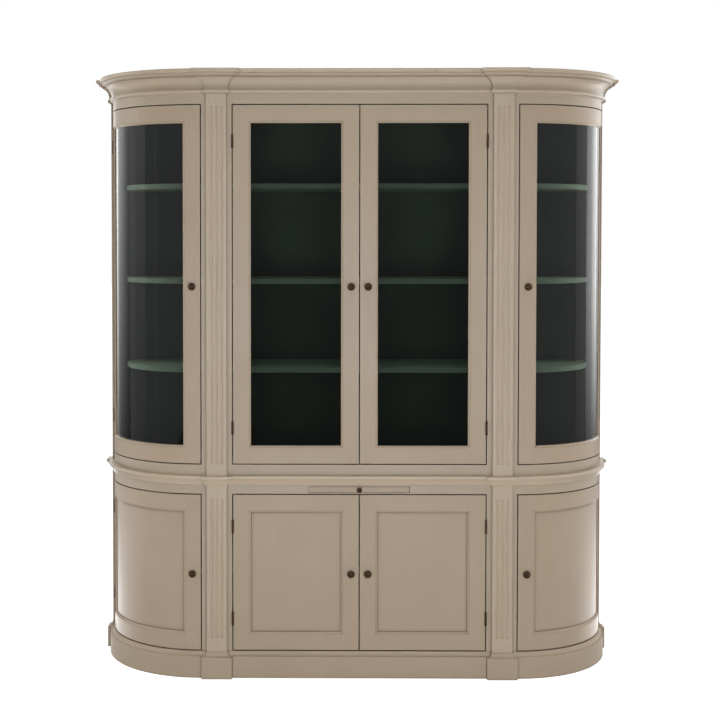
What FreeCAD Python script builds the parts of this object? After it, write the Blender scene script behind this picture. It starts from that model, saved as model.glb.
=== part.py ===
import FreeCAD, Part
import math
import os
import Sketcher
from types import SimpleNamespace

# A two-unit display buffet with quarter-round bowed ends. The front faces -Y, Z is up, and all
# lengths are in millimetres. Pieces are drawn with the face of the doors at y = 0 and the floor at
# z = 0, on the right-hand side where they come in pairs. Every finished sub-part is then set back so
# that the origin lies under the middle of the whole cabinet.

# Driving dimensions
DRIVING_SIZES = {
    # heights, from the floor up
    "plinth_height": 102.5,
    "base_opening": 627,
    "base_frieze": 36.5,
    "waist_height": 37,
    "upper_rail": 42,
    "upper_opening": 1421.5,
    "upper_frieze": 33.5,
    "cornice_height": 100,
    # plan
    "half_opening": 503.1,
    "stile_width": 120.3,
    "end_radius": 395,
    "post_depth": 55,
    "post_width": 90,
    "post_strip": 15,
    # mouldings
    "pilaster_width": 80,
    "pilaster_projection": 18,
    "flute_pitch": 20,
    "flute_radius": 6,
    "flute_offset": 2,
    "base_flute_margin": 54,
    "upper_flute_margin": 45,
    "plinth_projection": 20,
    "waist_projection": 22,
    "cornice_projection": 55,
    # boards
    "face_thickness": 22,
    "board_thickness": 18,
    "partition_thickness": 22,
    "back_thickness": 12,
    "shelf_thickness": 20,
    "shelf_setback": 55,
    "shelf_clearance": 2,
    "base_shelf_height": 400,
    "low_shelf_height": 1204,
    "middle_shelf_height": 1558,
    "high_shelf_height": 1937,
    # doors
    "door_gap": 4.4,
    "door_stile": 62,
    "sticking": 8,
    "quirk": 2,
    "lip_edge": 3,
    "glass_depth": 9,
    "glass_thickness": 4,
    "panel_thickness": 8,
    "play": 0.2,
    # fittings
    "knob_radius": 15,
    "knob_inset": 31,
    "base_knob_height": 413,
    "upper_knob_height": 1549,
    "slide_knob_radius": 10.5,
    "hinge_height": 54,
    "hinge_width": 20,
    "leaf_thickness": 1.4,
    "barrel_radius": 4,
    "barrel_offset": 4.3,
    "hinge_pin_radius": 1.5,
    "hinge_pin_overrun": 1.5,
    "hinge_play": 0.05,
    "base_hinge_inset": 130,
    "upper_hinge_inset": 146,
    "shelf_pin_radius": 2.5,
    "shelf_pin_reach": 10,
    "partition_pin_inset": 50,
    "post_pin_inset": 19,
    "catch_length": 40,
    "catch_size": 15,
    "catch_inset": 10,
    # pull-out slide
    "slide_width": 396,
    "slide_depth": 380,
    "slide_thickness": 21,
    "slide_drop": 9.5,
    "slide_gap": 2,
    "runner_width": 16,
    "runner_foot": 5,
}

doc = FreeCAD.newDocument("bowed_end_buffet")
sheet = doc.addObject("Spreadsheet::Sheet", "sizes")
for row, (alias, value) in enumerate(DRIVING_SIZES.items(), start=1):
    sheet.set(f"A{row}", alias)
    sheet.set(f"B{row}", str(value))
    sheet.setAlias(f"B{row}", alias)
doc.recompute()


class Size:
    """A length that keeps its number together with the spreadsheet formula it comes from."""

    def __init__(self, number, formula=None):
        self.number = float(number)
        self.formula = formula if formula is not None else repr(float(number))

    def join(self, other, sign, number):
        return Size(number, f"(({self.formula}) {sign} ({other.formula}))")

    def __add__(self, other):
        other = as_size(other)
        return self.join(other, "+", self.number + other.number)

    def __sub__(self, other):
        other = as_size(other)
        return self.join(other, "-", self.number - other.number)

    def __mul__(self, other):
        other = as_size(other)
        return self.join(other, "*", self.number * other.number)

    def __truediv__(self, other):
        other = as_size(other)
        return self.join(other, "/", self.number / other.number)

    def __neg__(self):
        return Size(-self.number, f"(-({self.formula}))")


def as_size(value):
    return value if isinstance(value, Size) else Size(value)


D = SimpleNamespace(**{alias: Size(sheet.get(alias), f"sizes.{alias}") for alias in DRIVING_SIZES})


def arc_angle(length):
    """Degrees that a length takes up along the face of a bowed end."""
    return as_size(length) / D.end_radius * Size(180 / math.pi, "(180 / pi)")


# Heights that follow from the driving dimensions
base_top = D.plinth_height + D.base_opening
waist_low = base_top + D.base_frieze
upper_low = waist_low + D.waist_height
upper_door_low = upper_low + D.upper_rail
upper_door_top = upper_door_low + D.upper_opening
cornice_low = upper_door_top + D.upper_frieze
base_floor_low = D.plinth_height - D.board_thickness
worktop_low = upper_low - D.board_thickness
upper_floor_low = upper_door_low - D.board_thickness
roof_low = cornice_low - D.board_thickness

# Plan positions that follow from the driving dimensions
stile_outer = D.half_opening + D.stile_width
pilaster_x = D.half_opening + D.stile_width / 2
bow_x = stile_outer + D.door_gap / 2
bow_y = D.end_radius
bow_inner = D.end_radius - D.face_thickness
side_x = bow_x + D.end_radius
side_inner = bow_x + bow_inner
post_front = bow_y + D.door_gap / 2
post_inner = side_x - D.post_width
strip_outer = side_x + D.post_strip
strip_front = bow_y + D.post_strip
body_depth = bow_y + D.post_depth
back_front = body_depth - D.back_thickness
partition_inner = pilaster_x - D.partition_thickness / 2
partition_outer = pilaster_x + D.partition_thickness / 2
face_y = (D.pilaster_projection + D.cornice_projection - body_depth) / 2

# Angles along a bowed door, measured from the front round to the side
door_start = arc_angle(D.door_gap / 2)
stile_angle = arc_angle(D.door_stile)
shoulder_start = door_start + stile_angle
shoulder_sweep = Size(90) - shoulder_start * 2

nodes = []


# Helpers that make document objects bound to the spreadsheet
def bind(thing, **lengths):
    """Tie properties of a document object to spreadsheet formulas."""
    for name, length in lengths.items():
        thing.setExpression(name.replace("__", "."), as_size(length).formula)


def place(thing, x=0, y=0, z=0, angle=0):
    """Tie the placement of a document object to spreadsheet formulas, turned about Z."""
    thing.Placement.Rotation = FreeCAD.Rotation(FreeCAD.Vector(0, 0, 1), as_size(angle).number)
    bind(thing, Placement__Base__x=x, Placement__Base__y=y, Placement__Base__z=z)
    if as_size(angle).number:
        bind(thing, Placement__Rotation__Angle=angle)


def board(label, x_span, y_span, z_span):
    """A plain rectangular piece between two planes in each direction."""
    box = doc.addObject("Part::Box", label)
    (x0, x1), (y0, y1), (z0, z1) = [[as_size(end) for end in span] for span in (x_span, y_span, z_span)]
    bind(box, Length=x1 - x0, Width=y1 - y0, Height=z1 - z0)
    place(box, x0, y0, z0)
    return box


def rod(label, radius, length, x, y, z):
    """A cylinder standing upright on a point."""
    cylinder = doc.addObject("Part::Cylinder", label)
    bind(cylinder, Radius=radius, Height=length)
    place(cylinder, x, y, z)
    return cylinder


def level_rod(label, radius, length, x, y, z, axis):
    """A cylinder lying along a level axis from a point."""
    cylinder = rod(label, radius, length, x, y, z)
    cylinder.Placement.Rotation = FreeCAD.Rotation(FreeCAD.Vector(0, 0, 1), FreeCAD.Vector(*axis))
    return cylinder


def group(label, parts):
    """Several solids held together as one object."""
    compound = doc.addObject("Part::Compound", label)
    compound.Links = parts
    return compound


def copy_at(label, source, x=0, y=0, z=0, angle=0):
    """The same piece again, at another place."""
    copy = group(label, [source])
    place(copy, x, y, z, angle)
    return copy


def mirrored(label, source, normal=(1, 0, 0), z=0):
    """The same piece on the other side of a plane through (0, 0, z)."""
    mirror = doc.addObject("Part::Mirroring", label)
    mirror.Source = source
    mirror.Normal = normal
    bind(mirror, Base__z=z)
    return mirror


def both_sides(part):
    """A right-hand piece and its left-hand twin."""
    return [part, mirrored(part.Label + "_left", part)]


def cut(label, base, tools):
    result = doc.addObject("Part::Cut", label)
    result.Base = base
    result.Tool = tools[0] if len(tools) == 1 else group(label + "_tools", tools)
    return result


def fused(label, parts):
    result = doc.addObject("Part::MultiFuse", label)
    result.Shapes = parts
    result.Refine = True
    return result


def node(label, parts):
    """A finished sub-part: its solids, set back into the shared frame."""
    finished = group(label, parts)
    place(finished, y=face_y)
    nodes.append(finished)
    return finished


def left_twin(label, source):
    """The left-hand sub-part that mirrors a finished right-hand one."""
    finished = mirrored(label, source)
    nodes.append(finished)
    return finished


def origin_feature(body, role):
    return next(feature for feature in body.Origin.OriginFeatures if feature.Role == role)


def sketch(body, plane, *outlines):
    """Closed outlines on an origin plane of a body, every corner tied to the spreadsheet.

    A corner is (x, y), reached by a straight line, or (x, y, radius, side), reached by an arc that
    bulges to the left (1) or the right (-1) of the way there.
    """
    drawing = body.newObject("Sketcher::SketchObject", f"{body.Name}_sketch")
    drawing.AttachmentSupport = [(origin_feature(body, plane), "")]
    drawing.MapMode = "FlatFace"
    for corners in outlines:
        draw_outline(drawing, corners)
    return drawing


def draw_outline(drawing, corners):
    points = [(as_size(corner[0]), as_size(corner[1])) for corner in corners]
    starts = [FreeCAD.Vector(x.number, y.number, 0) for x, y in points]
    count = len(points)
    first = drawing.GeometryCount
    ends = []
    for index in range(count):
        start = starts[index]
        end = starts[(index + 1) % count]
        corner = corners[(index + 1) % count]
        if len(corner) == 2:
            drawing.addGeometry(Part.LineSegment(start, end), False)
            ends.append((1, 2))
        else:
            drawing.addGeometry(arc_between(start, end, as_size(corner[2]).number, corner[3]), False)
            ends.append((2, 1) if corner[3] > 0 else (1, 2))
    for index in range(count):
        geometry = first + index
        following = (index + 1) % count
        start_point = ends[index][0]
        drawing.addConstraint(Sketcher.Constraint(
            "Coincident", geometry, ends[index][1], first + following, ends[following][0]))
        for kind, size in zip(("DistanceX", "DistanceY"), points[index]):
            number = drawing.addConstraint(
                Sketcher.Constraint(kind, -1, 1, geometry, start_point, size.number))
            drawing.setExpression(f"Constraints[{number}]", size.formula)
        if len(corners[following]) > 2:
            radius = as_size(corners[following][2])
            number = drawing.addConstraint(Sketcher.Constraint("Radius", geometry, radius.number))
            drawing.setExpression(f"Constraints[{number}]", radius.formula)


def arc_between(start, end, radius, side):
    """The short arc of a radius between two points, bulging to the left (1) or right (-1)."""
    chord = end - start
    middle = (start + end) / 2
    left = FreeCAD.Vector(-chord.y, chord.x, 0).normalize()
    centre = middle - left * (side * math.sqrt(max(radius ** 2 - (chord.Length / 2) ** 2, 0)))
    start_angle = math.atan2(start.y - centre.y, start.x - centre.x)
    end_angle = math.atan2(end.y - centre.y, end.x - centre.x)
    if side > 0:
        start_angle, end_angle = end_angle, start_angle
    if end_angle < start_angle:
        end_angle += 2 * math.pi
    circle = Part.Circle(centre, FreeCAD.Vector(0, 0, 1), radius)
    return Part.ArcOfCircle(circle, start_angle, end_angle)


def pad(body, profile, length, backwards=False):
    feature = body.newObject("PartDesign::Pad", f"{body.Name}_pad")
    feature.Profile = profile
    feature.Reversed = backwards
    bind(feature, Length=length)
    return feature


def turn(body, profile, angle, backwards=False):
    """Revolve a profile about the upright axis of its sketch."""
    feature = body.newObject("PartDesign::Revolution", f"{body.Name}_turn")
    feature.Profile = profile
    feature.ReferenceAxis = (profile, ["V_Axis"])
    feature.Reversed = backwards
    bind(feature, Angle=angle)
    return feature


def new_body(label, x=0, y=0, z=0, angle=0):
    body = doc.addObject("PartDesign::Body", label)
    place(body, x, y, z, angle)
    return body


def prism(label, plane, outline, length, x=0, y=0, z=0):
    """One outline on an origin plane, pushed out along the normal of that plane."""
    body = new_body(label, x, y, z)
    pad(body, sketch(body, plane, outline), length)
    return body


def bowed(label, outline, start, sweep):
    """An outline in (radius, height), swept round the upright axis of the bowed end."""
    body = new_body(label, bow_x, bow_y, 0, start)
    turn(body, sketch(body, "YZ_Plane", [(-as_size(r), z) for r, z in outline]), sweep)
    return body


def rectangle(x0, x1, y0, y1):
    return [(x0, y0), (x1, y0), (x1, y1), (x0, y1)]


# Mouldings: each profile is a list of (projection, height) corners from the bottom up. The last two
# values of an arc are its radius and 1 where it bulges outwards or -1 where it is hollow.
def plinth_profile():
    hollow = D.plinth_projection * 0.7
    fillet = D.plinth_projection * 0.15
    step = D.plinth_projection - fillet
    shoulder = D.plinth_height - fillet - hollow
    return [
        (D.plinth_projection, Size(0)),
        (D.plinth_projection, shoulder),
        (step, shoulder),
        (step - hollow, shoulder + hollow, hollow, -1),
        (step - hollow, D.plinth_height),
    ]


def waist_profile():
    neck = D.waist_projection * 0.15
    hollow = D.waist_projection * 0.55
    nose = D.waist_projection * 0.18
    top = waist_low + D.waist_height
    soffit = top - D.waist_height * 0.46
    return [
        (neck, waist_low),
        (neck, soffit - hollow),
        (neck + hollow, soffit, hollow, -1),
        (D.waist_projection - nose, soffit),
        (D.waist_projection, soffit + nose, nose, 1),
        (D.waist_projection, top - nose),
        (D.waist_projection - nose, top, nose, 1),
    ]


def cornice_profile():
    """A bead, a long hollow, a fillet, a quarter round and a cap with a rounded nose."""
    unit = D.cornice_height / 100
    reach = D.cornice_projection / 55
    neck = reach * 7
    bead = unit * 7
    return [
        (neck, cornice_low),
        (neck, cornice_low + unit * 2),
        (neck + bead, cornice_low + unit * 2 + bead, bead, 1),
        (neck, cornice_low + unit * 2 + bead * 2, bead, 1),
        (neck, cornice_low + unit * 18),
        (reach * 26, cornice_low + unit * 56, unit * 50, -1),
        (reach * 29, cornice_low + unit * 56),
        (reach * 29, cornice_low + unit * 64),
        (reach * 31, cornice_low + unit * 64),
        (reach * 47, cornice_low + unit * 80, unit * 16, 1),
        (reach * 49, cornice_low + unit * 80),
        (reach * 49, cornice_low + unit * 82),
        (D.cornice_projection, cornice_low + unit * 88, unit * 6, 1),
        (D.cornice_projection, cornice_low + unit * 95),
        (reach * 50, cornice_low + D.cornice_height, unit * 5, 1),
    ]


def profile_corners(profile, face, outwards):
    """Profile corners on a sketch where the face lies at one x and outwards is 1 or -1 along x."""
    corners = []
    for projection, height, *arc in profile:
        corner = (as_size(face) + projection * outwards, height)
        corners.append(corner + ((arc[0], -arc[1] * outwards) if arc else ()))
    return corners


def closed_profile(profile, face, back, outwards):
    """A profile closed by a plane back face."""
    low = profile[0][1]
    top = profile[-1][1]
    return [(back, low)] + profile_corners(profile, face, outwards) + [(back, top)]


def returned_profile(profile, left_face, right_face):
    """A profile that returns on both sides of a block."""
    right = profile_corners(profile, right_face, 1)
    left = profile_corners(profile, left_face, -1)
    falling = []
    arc = ()
    for corner in reversed(left):
        falling.append(corner[:2] + arc)
        arc = (corner[2], -corner[3]) if len(corner) > 2 else ()
    return right + falling


def moulding(label, profile, projection):
    """The pieces of a moulding that breaks forward over the pilasters and the rear posts."""
    front = -D.pilaster_projection
    spare = projection + 1
    left_face = pilaster_x - D.pilaster_width / 2
    right_face = pilaster_x + D.pilaster_width / 2

    along = prism(
        f"{label}_block_front", "YZ_Plane", closed_profile(profile, front, D.face_thickness, -1),
        D.pilaster_width + spare * 2, x=left_face - spare)
    across = prism(
        f"{label}_block_sides", "XZ_Plane", returned_profile(profile, left_face, right_face),
        D.face_thickness - front + spare, y=D.face_thickness)
    block = doc.addObject("Part::Common", f"{label}_block")
    block.Base = along
    block.Tool = across

    rear_front = prism(
        f"{label}_rear_front", "YZ_Plane", closed_profile(profile, strip_front, body_depth, -1),
        strip_outer - side_inner + spare, x=side_inner)
    rear_side = prism(
        f"{label}_rear_side", "XZ_Plane", closed_profile(profile, strip_outer, side_inner, 1),
        body_depth - strip_front + spare, y=body_depth)
    rear_block = doc.addObject("Part::Common", f"{label}_rear_block")
    rear_block.Base = rear_front
    rear_block.Tool = rear_side

    straight = prism(
        f"{label}_straight", "YZ_Plane", closed_profile(profile, 0, D.face_thickness, -1),
        pilaster_x * 2, x=-pilaster_x)
    blocks = both_sides(block)
    centre = cut(f"{label}_centre", straight, blocks)

    bow = new_body(f"{label}_bow", bow_x, bow_y)
    section = sketch(bow, "YZ_Plane", closed_profile(profile, -D.end_radius, -bow_inner, -1))
    pad(bow, section, bow_x - pilaster_x, backwards=True)
    turn(bow, section, 90)
    end_section = sketch(bow, "XZ_Plane", closed_profile(profile, D.end_radius, bow_inner, 1))
    pad(bow, end_section, D.post_strip, backwards=True)
    end = cut(f"{label}_end", bow, [block, rear_block])
    return [centre] + blocks + both_sides(rear_block) + both_sides(end)


def back_rail(label, low, top):
    return board(
        label, (-side_inner, side_inner), (body_depth - D.face_thickness, body_depth), (low, top))


plinth_parts = moulding("plinth", plinth_profile(), D.plinth_projection)
node("plinth", plinth_parts + [back_rail("plinth_back_rail", 0, base_floor_low)])
node("waist_moulding", moulding("waist", waist_profile(), D.waist_projection))
cornice_parts = moulding("cornice", cornice_profile(), D.cornice_projection)
cornice_top = cornice_low + D.cornice_height
node("cornice", cornice_parts + [back_rail("cornice_back_rail", cornice_low, cornice_top)])


# Level boards that follow the bowed plan
def plan_board(label, low):
    front = D.face_thickness + D.play
    radius = bow_inner - D.play
    outer = bow_x + radius
    right = [
        (bow_x, front),
        (outer, bow_y, radius, -1),
        (outer, body_depth),
        (post_inner, body_depth),
        (post_inner, back_front),
    ]
    left = [
        (-post_inner, back_front),
        (-post_inner, body_depth),
        (-outer, body_depth),
        (-outer, bow_y),
        (-bow_x, front, radius, -1),
    ]
    return prism(label, "XY_Plane", right + left, D.board_thickness, z=low)


node("base_floor", [plan_board("base_floor_board", base_floor_low)])
node("worktop", [plan_board("worktop_board", worktop_low)])
node("upper_floor", [plan_board("upper_floor_board", upper_floor_low)])
node("upper_roof", [plan_board("upper_roof_board", roof_low)])


# Face frames, bowed rails, rear posts and backs
def face_stile(label, low, top):
    return board(label, (D.half_opening, stile_outer), (0, D.face_thickness), (low, top))


def face_rail(label, low, top):
    return board(label, (-D.half_opening, D.half_opening), (0, D.face_thickness), (low, top))


def bowed_rail(label, low, top):
    """A rail round the bowed end, with short straight ends that meet the stile and the post."""
    body = new_body(label, bow_x, bow_y)
    section = sketch(body, "YZ_Plane", rectangle(-D.end_radius, -bow_inner, low, top))
    pad(body, section, D.door_gap / 2, backwards=True)
    turn(body, section, 90)
    end_section = sketch(body, "XZ_Plane", rectangle(bow_inner, D.end_radius, low, top))
    pad(body, end_section, D.door_gap / 2, backwards=True)
    return body


def rear_post(label, low, top, inner_spans):
    """A corner post: the inner parts stand between the boards, the outer part runs past them."""
    depth = (post_front, body_depth)
    outer = board(f"{label}_outer", (side_inner, side_x), depth, (low, top))
    strip = board(f"{label}_strip", (side_x, strip_outer), (strip_front, body_depth), (low, top))
    inner = [
        board(f"{label}_inner_{index + 1}", (post_inner, side_inner), depth, span)
        for index, span in enumerate(inner_spans)
    ]
    return fused(label, inner + [outer, strip])


def back_panel(label, low, top):
    return board(label, (-post_inner, post_inner), (back_front, body_depth), (low, top))


slide_top = waist_low - D.slide_drop
slide_low = slide_top - D.slide_thickness
slot = board(
    "slide_slot", (-D.slide_width / 2 - D.slide_gap, D.slide_width / 2 + D.slide_gap),
    (-D.slide_gap, D.face_thickness + D.slide_gap), (slide_low - D.slide_gap, slide_top + D.slide_gap))
frieze_rail = cut("base_frieze_rail", face_rail("base_frieze_blank", base_top, waist_low), [slot])
base_stiles = both_sides(face_stile("base_stile", D.plinth_height, waist_low))
node("base_face_frame", base_stiles + [frieze_rail])
node("base_bowed_rails", both_sides(bowed_rail("base_bowed_frieze", base_top, waist_low)))
base_post = rear_post("base_post", D.plinth_height, waist_low, [(D.plinth_height, worktop_low)])
node("base_back", [back_panel("base_back_panel", base_floor_low, upper_low)])

upper_stiles = both_sides(face_stile("upper_stile", upper_low, cornice_low))
node("upper_face_frame", upper_stiles + [
    face_rail("upper_bottom_rail", upper_low, upper_door_low),
    face_rail("upper_frieze_rail", upper_door_top, cornice_low),
])
upper_bottom_bows = both_sides(bowed_rail("upper_bowed_bottom", upper_low, upper_door_low))
upper_frieze_bows = both_sides(bowed_rail("upper_bowed_frieze", upper_door_top, cornice_low))
node("upper_bowed_rails", upper_bottom_bows + upper_frieze_bows)
upper_post_spans = [(upper_low, upper_floor_low), (upper_door_low, roof_low)]
upper_post = rear_post("upper_post", upper_low, cornice_low, upper_post_spans)


# Fluted pilasters, with three stopped flutes cut by a round-nosed cutter
def pilaster(label, low, top, margin):
    body = new_body(label, pilaster_x - D.flute_pitch, -D.pilaster_projection - D.flute_offset, low)
    half = D.pilaster_width / 2
    front = D.flute_offset
    blank = rectangle(D.flute_pitch - half, D.flute_pitch + half, front, front + D.pilaster_projection)
    pad(body, sketch(body, "XY_Plane", blank), top - low)
    end = top - low - margin
    cutter = [
        (0, margin),
        (D.flute_radius, margin + D.flute_radius, D.flute_radius, -1),
        (D.flute_radius, end - D.flute_radius),
        (0, end, D.flute_radius, -1),
    ]
    profile = sketch(body, "YZ_Plane", cutter)
    flute = body.newObject("PartDesign::Groove", f"{label}_flute")
    flute.Profile = profile
    flute.ReferenceAxis = (profile, ["V_Axis"])
    flute.Angle = 360
    doc.recompute()
    flutes = body.newObject("PartDesign::LinearPattern", f"{label}_flutes")
    flutes.Originals = [flute]
    flutes.Direction = (origin_feature(body, "X_Axis"), [""])
    bind(flutes, Length=D.flute_pitch * 2)
    flutes.Occurrences = 3
    body.Tip = flutes
    return body


base_pilaster = pilaster("base_pilaster", D.plinth_height, waist_low, D.base_flute_margin)
node("base_pilasters", both_sides(base_pilaster))
upper_pilaster = pilaster("upper_pilaster", upper_low, cornice_low, D.upper_flute_margin)
node("upper_pilasters", both_sides(upper_pilaster))


# Shelves, the pegs that carry them and the partitions and posts that hold the pegs
def centre_shelf(label, low):
    half = partition_inner - D.shelf_clearance / 2
    depth = (D.shelf_setback, back_front - D.shelf_clearance)
    return board(label, (-half, half), depth, (low, low + D.shelf_thickness))


def end_shelf(label, low):
    inner = partition_outer + D.shelf_clearance / 2
    radius = bow_y - D.shelf_setback
    notch = post_inner - D.shelf_clearance / 2
    rear = back_front - D.shelf_clearance
    outline = [
        (inner, D.shelf_setback),
        (bow_x, D.shelf_setback),
        (bow_x + radius, bow_y, radius, -1),
        (notch, bow_y),
        (notch, rear),
        (inner, rear),
    ]
    return prism(label, "XY_Plane", outline, D.shelf_thickness, z=low)


def shelf_row(label, low):
    return [centre_shelf(f"{label}_centre", low)] + both_sides(end_shelf(f"{label}_end", low))


def partition_pegs(label, low, extra, reach):
    """Two rods through a partition, under the front and the rear of the shelves."""
    length = D.partition_thickness + reach * 2
    middle = low - D.shelf_pin_radius - D.play
    front = D.shelf_setback + D.partition_pin_inset
    rear = back_front - D.partition_pin_inset
    return [
        level_rod(
            f"{label}_{end}", D.shelf_pin_radius + extra, length, partition_inner - reach, y, middle,
            (1, 0, 0))
        for end, y in (("front", front), ("rear", rear))]


def post_peg(label, low, extra, depth):
    """A rod in the front of a rear post, under the outer corner of an end shelf."""
    middle = low - D.shelf_pin_radius - D.play
    return level_rod(
        label, D.shelf_pin_radius + extra, D.shelf_pin_reach + depth, post_inner + D.post_pin_inset,
        post_front - D.shelf_pin_reach, middle, (0, 1, 0))


def partition(label, low, top, shelf_heights):
    blank = board(
        f"{label}_blank", (partition_inner, partition_outer), (D.face_thickness, back_front), (low, top))
    holes = []
    for index, height in enumerate(shelf_heights):
        holes += partition_pegs(f"{label}_hole_{index}", height, D.play / 4, Size(1))
    return cut(label, blank, holes)


def drilled_post(label, post, shelf_heights):
    holes = [
        post_peg(f"{label}_hole_{index}", height, D.play / 4, D.shelf_pin_reach)
        for index, height in enumerate(shelf_heights)]
    return cut(label, post, holes)


upper_shelf_heights = [D.low_shelf_height, D.middle_shelf_height, D.high_shelf_height]
all_shelf_heights = [D.base_shelf_height] + upper_shelf_heights
base_partition = partition("base_partition", D.plinth_height, worktop_low, [D.base_shelf_height])
upper_partition = partition("upper_partition", upper_door_low, roof_low, upper_shelf_heights)
node("base_partitions", both_sides(base_partition))
node("upper_partitions", both_sides(upper_partition))
base_drilled = drilled_post("base_post_drilled", base_post, [D.base_shelf_height])
upper_drilled = drilled_post("upper_post_drilled", upper_post, upper_shelf_heights)
node("base_rear_posts", both_sides(base_drilled))
node("upper_rear_posts", both_sides(upper_drilled))
node("upper_back", [back_panel("upper_back_panel", upper_low, cornice_low)])
node("base_shelves", shelf_row("base_shelf", D.base_shelf_height))
upper_shelves = []
for index, height in enumerate(upper_shelf_heights):
    upper_shelves += shelf_row(f"upper_shelf_{index}", height)
node("upper_shelves", upper_shelves)
pegs = []
for index, height in enumerate(all_shelf_heights):
    for peg in partition_pegs(f"shelf_peg_{index}", height, 0, D.shelf_pin_reach):
        pegs += both_sides(peg)
    pegs += both_sides(post_peg(f"shelf_peg_{index}_post", height, 0, D.shelf_pin_reach - 1))
node("shelf_pins", pegs)

# Pull-out slide with its runners
slide_half = D.slide_width / 2
slide_panel = board("slide_panel", (-slide_half, slide_half), (0, D.slide_depth), (slide_low, slide_top))
node("slide_board", [slide_panel])
runner_inner = slide_half + D.slide_gap
runner_depth = (D.face_thickness, back_front)
runner_web = board(
    "runner_web", (runner_inner, runner_inner + D.runner_width), runner_depth,
    (slide_low - D.play - D.runner_foot, worktop_low))
runner_foot = board(
    "runner_foot", (runner_inner - D.runner_width, runner_inner), runner_depth,
    (slide_low - D.play - D.runner_foot, slide_low - D.play))
node("slide_runners", both_sides(fused("slide_runner", [runner_web, runner_foot])))


# Knobs: a rose, a waisted neck and a rounded head, turned about the Y axis
def knob(label, radius):
    body = new_body(label)
    unit = radius / 15
    outline = [
        (0, 0),
        (0, unit * -28),
        (unit * 4, unit * -28),
        (radius, unit * -18, unit * 12, -1),
        (unit * 6, unit * -9.5, unit * 11, -1),
        (unit * 5, unit * -6, unit * 5, 1),
        (unit * 9, unit * -2.5, unit * 6, 1),
        (unit * 9, 0),
    ]
    turn(body, sketch(body, "XY_Plane", outline), 360)
    return body


door_knob = knob("door_knob_turning", D.knob_radius)
slide_knob = knob("slide_knob_turning", D.slide_knob_radius)
node("slide_knob", [copy_at("slide_knob_set", slide_knob, z=(slide_low + slide_top) / 2)])

# Hinges: five knuckles on a pin; the frame leaf has three of them and the door leaf two
KNUCKLES = 5


def hinge_leaf(label, knuckle_numbers, side):
    """One leaf about an upright axis at the origin, its plate running to +Y, side 1 or -1 along X."""
    knuckle = D.hinge_height / KNUCKLES
    low = -D.hinge_height / 2
    outer = D.door_gap / 2 - D.play / 2
    edges = [outer * side, (outer - D.leaf_thickness) * side]
    x_span = sorted(edges, key=lambda edge: edge.number)
    plate = board(
        f"{label}_plate", x_span, (D.barrel_offset + 0.1, D.barrel_offset + D.hinge_width),
        (low, D.hinge_height / 2))
    pieces = [plate]
    for number in knuckle_numbers:
        z0 = low + knuckle * number + D.play / 2
        height = knuckle - D.play
        pieces.append(rod(f"{label}_knuckle_{number}", D.barrel_radius, height, 0, 0, z0))
        pieces.append(board(
            f"{label}_neck_{number}", x_span, (D.barrel_radius / 2, D.barrel_offset + 1), (z0, z0 + height)))
    bore = rod(
        f"{label}_bore", D.hinge_pin_radius + D.hinge_play, D.hinge_height + 2, 0, 0, low - 1)
    return cut(label, fused(f"{label}_solid", pieces), [bore])


frame_leaf = hinge_leaf("frame_leaf", (0, 2, 4), 1)
door_leaf = hinge_leaf("door_leaf", (1, 3), -1)
pin_length = D.hinge_height + D.hinge_pin_overrun * 2
hinge_pin = rod("hinge_pin", D.hinge_pin_radius, pin_length, 0, 0, -pin_length / 2)


def hinge_pair(label, piece, x, y, angle, low, top, inset):
    """The same hinge piece near the top and near the bottom of a door opening."""
    upper = copy_at(f"{label}_high", piece, x, y, top - inset, angle)
    return [upper, mirrored(f"{label}_low", upper, (0, 0, 1), (low + top) / 2)]


# Doors: sections are lists of (distance from the edge of the door, depth behind its face)
def frame_section(panelled):
    shoulder = D.door_stile
    lip = D.door_stile + D.sticking
    section = [
        (Size(0), Size(0)),
        (shoulder, Size(0)),
        (shoulder, D.quirk),
        (lip, D.glass_depth - D.lip_edge),
        (lip, D.glass_depth),
        (shoulder, D.glass_depth),
    ]
    if panelled:
        groove = D.glass_depth + D.panel_thickness
        section += [(shoulder, groove), (lip, groove), (lip, D.face_thickness)]
    else:
        section += [(shoulder, D.face_thickness)]
    return section + [(Size(0), D.face_thickness)]


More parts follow.
